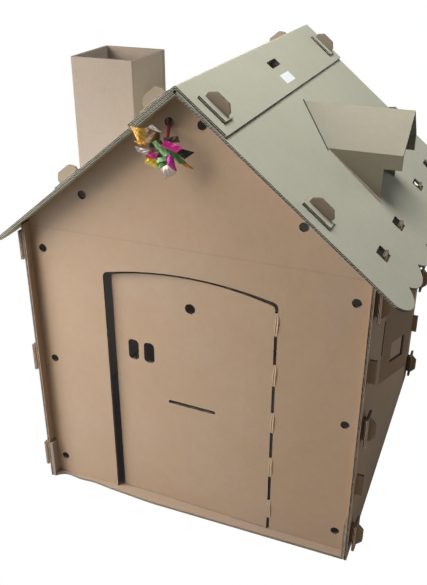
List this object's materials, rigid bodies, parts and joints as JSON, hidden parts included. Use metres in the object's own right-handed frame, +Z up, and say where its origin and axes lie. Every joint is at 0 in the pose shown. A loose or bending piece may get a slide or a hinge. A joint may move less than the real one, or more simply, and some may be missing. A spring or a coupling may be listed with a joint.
{
  "type": "cardboard playhouse",
  "caption": "Play house of folded corrugated board with tab and collar joints, scalloped roof, arched door ajar, open shutter, dormer, chimney and a foil pinwheel in the gable.",
  "frame": {"origin": "on the ground under the middle of the floor sheet", "axes": "+X to the right as seen from the door, +Y from the door to the back, +Z up"},
  "size_m": [0.9914, 0.9553, 1.122],
  "materials": {
    "front_wall": "kraft corrugated board",
    "back_wall": "kraft corrugated board",
    "left_wall": "kraft corrugated board",
    "right_wall": "kraft corrugated board",
    "floor_sheet": "kraft corrugated board",
    "roof_left": "kraft corrugated board",
    "roof_right": "kraft corrugated board",
    "ridge_cap": "kraft corrugated board",
    "dormer": "kraft corrugated board",
    "chimney": "kraft corrugated board",
    "collar_board": "kraft corrugated board",
    "paper_patch": "paper",
    "foil_gold": "metallised film",
    "foil_brown": "metallised film",
    "foil_magenta": "metallised film",
    "foil_green": "metallised film",
    "foil_silver": "metallised film",
    "foil_yellow": "metallised film",
    "foil_violet": "metallised film",
    "foil_pink": "metallised film",
    "foil_lime": "metallised film",
    "foil_pearl": "metallised film",
    "red_plastic": "gloss"
  },
  "bodies": {
    "root": {"front_wall": "front_wall", "back_wall": "back_wall", "left_wall": "left_wall", "right_wall": "right_wall", "floor_sheet": "floor_sheet", "roof_left": "roof_left", "roof_right": "roof_right", "ridge_cap": "ridge_cap", "dormer": "dormer", "chimney": "chimney", "collar_front_left_ridge": "collar_board", "collar_front_left_eave": "collar_board", "collar_front_left_top": "collar_board", "collar_front_left_middle": "collar_board", "collar_front_left_foot": "collar_board", "collar_front_right_ridge": "collar_board", "collar_front_right_eave": "collar_board", "collar_front_right_top": "collar_board", "collar_front_right_middle": "collar_board", "collar_front_right_foot": "collar_board", "collar_back_left_ridge": "collar_board", "collar_back_left_eave": "collar_board", "collar_back_left_top": "collar_board", "collar_back_left_middle": "collar_board", "collar_back_left_foot": "collar_board", "collar_back_right_ridge": "collar_board", "collar_back_right_eave": "collar_board", "collar_back_right_top": "collar_board", "collar_back_right_middle": "collar_board", "collar_back_right_foot": "collar_board", "paper_patch": "paper_patch", "pinwheel_stick": "red_plastic", "pinwheel_hub": "foil_lime", "pinwheel_petal_gold": "foil_gold", "pinwheel_petal_brown": "foil_brown", "pinwheel_petal_magenta": "foil_magenta", "pinwheel_petal_green": "foil_green", "pinwheel_petal_violet": "foil_violet", "pinwheel_petal_silver": "foil_silver", "pinwheel_petal_lime": "foil_lime", "pinwheel_petal_yellow": "foil_yellow", "pinwheel_petal_pink": "foil_pink", "pinwheel_petal_pearl": "foil_pearl"}
  },
  "joints": []
}
